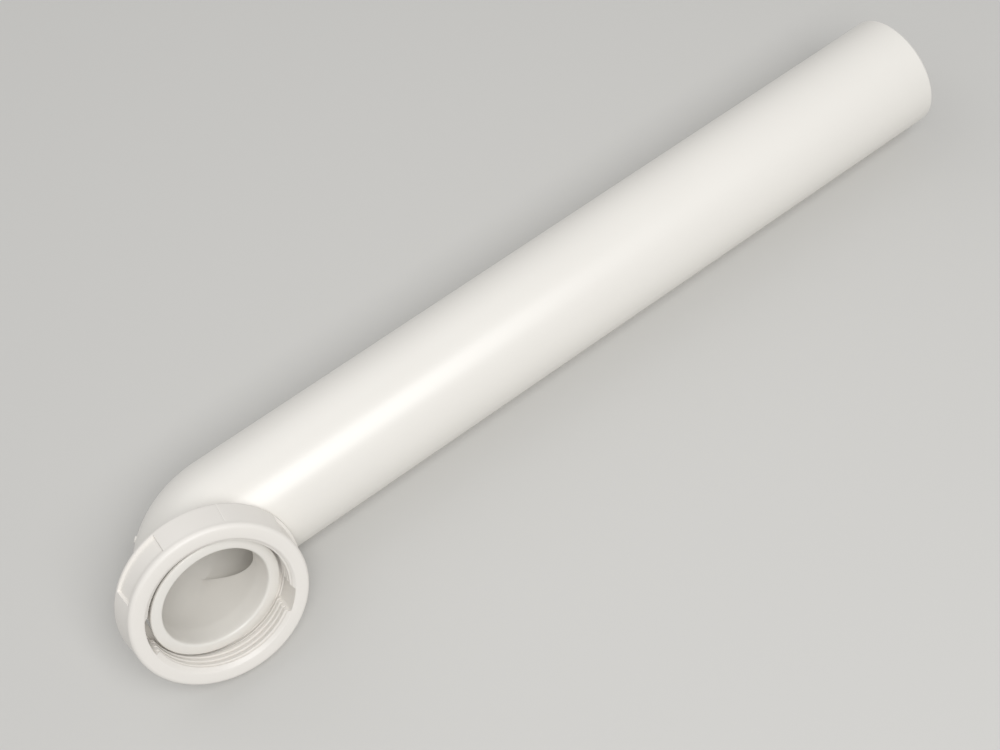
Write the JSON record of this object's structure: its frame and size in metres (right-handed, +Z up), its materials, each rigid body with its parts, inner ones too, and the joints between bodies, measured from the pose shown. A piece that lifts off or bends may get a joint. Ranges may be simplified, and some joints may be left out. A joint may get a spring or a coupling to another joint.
{
  "type": "drain bend",
  "caption": "Swept waste pipe bend with a long plain leg and a short flanged leg that carries a loose threaded coupling nut.",
  "frame": {"origin": "centre of the plain end's face, on the long leg's axis", "axes": "+X along the long leg and out of its plain end, +Z up as the part lies at rest, the short leg towards -Y"},
  "size_m": [0.3472, 0.0657, 0.0596],
  "materials": {
    "pipe": "semi-gloss moulded white",
    "nut": "satin moulded white"
  },
  "bodies": {
    "bend": {"bend": "pipe"},
    "coupling_nut": {"coupling_nut": "nut"}
  },
  "joints": [
    {"name": "nut_turn", "type": "hinge", "parent": "bend", "child": "coupling_nut", "pos_m": [-0.31593, -0.02326, 0.00764], "axis": [-0.0205, -0.8956, 0.4444], "continuous": true}
  ]
}
